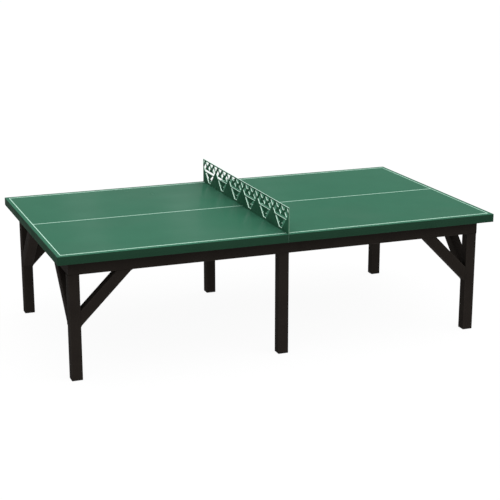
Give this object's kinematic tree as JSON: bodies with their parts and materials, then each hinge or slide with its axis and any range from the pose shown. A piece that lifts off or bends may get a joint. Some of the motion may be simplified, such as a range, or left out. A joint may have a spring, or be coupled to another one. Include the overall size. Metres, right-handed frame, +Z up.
{
  "type": "ping pong table",
  "caption": "Full-size table tennis table: thick green top in two halves, fixed steel net plate with triangular cut-outs, square-tube frame with knee braces.",
  "frame": {"origin": "on the floor, under the centre of the table", "axes": "+X along the length of the table, +Y across its width towards the back, +Z up"},
  "size_m": [2.74, 1.525, 0.917],
  "materials": {
    "top_board": "green semi-matt lacquer with white court lines",
    "frame_steel": "dark brown-black fine-textured powder coat",
    "net_steel": "dark brown-black powder coat, light worn cut edges",
    "zinc_steel": "bright zinc plate",
    "insert_brass": "turned",
    "foot_plastic": "moulded, fine grain"
  },
  "bodies": {
    "root": {"tabletop_left": "top_board", "tabletop_right": "top_board", "net_plate": "net_steel", "rail_front": "frame_steel", "rail_back": "frame_steel", "rail_left": "frame_steel", "rail_right": "frame_steel", "cross_rail_left": "frame_steel", "cross_rail_middle": "frame_steel", "cross_rail_right": "frame_steel", "leg_front_left": "frame_steel", "leg_front_middle": "frame_steel", "leg_front_right": "frame_steel", "leg_back_left": "frame_steel", "leg_back_middle": "frame_steel", "leg_back_right": "frame_steel", "side_brace_front_left": "frame_steel", "side_brace_front_right": "frame_steel", "side_brace_back_left": "frame_steel", "side_brace_back_right": "frame_steel", "end_brace_front_left": "frame_steel", "end_brace_front_right": "frame_steel", "end_brace_back_left": "frame_steel", "end_brace_back_right": "frame_steel", "foot_cap_front_left": "foot_plastic", "foot_cap_front_middle": "foot_plastic", "foot_cap_front_right": "foot_plastic", "foot_cap_back_left": "foot_plastic", "foot_cap_back_middle": "foot_plastic", "foot_cap_back_right": "foot_plastic", "bracket_front_left_outer": "frame_steel", "bracket_front_left_inner": "frame_steel", "bracket_front_right_inner": "frame_steel", "bracket_front_right_outer": "frame_steel", "bracket_back_left_outer": "frame_steel", "bracket_back_left_inner": "frame_steel", "bracket_back_right_inner": "frame_steel", "bracket_back_right_outer": "frame_steel", "bracket_end_left_front": "frame_steel", "bracket_end_left_back": "frame_steel", "bracket_end_right_front": "frame_steel", "bracket_end_right_back": "frame_steel", "bracket_middle_left_front": "frame_steel", "bracket_middle_left_back": "frame_steel", "bracket_middle_right_front": "frame_steel", "bracket_middle_right_back": "frame_steel", "top_bolts": "zinc_steel", "top_washers": "zinc_steel", "top_inserts": "insert_brass", "net_bolts": "zinc_steel", "net_washers": "zinc_steel", "net_nuts": "zinc_steel"}
  },
  "joints": []
}
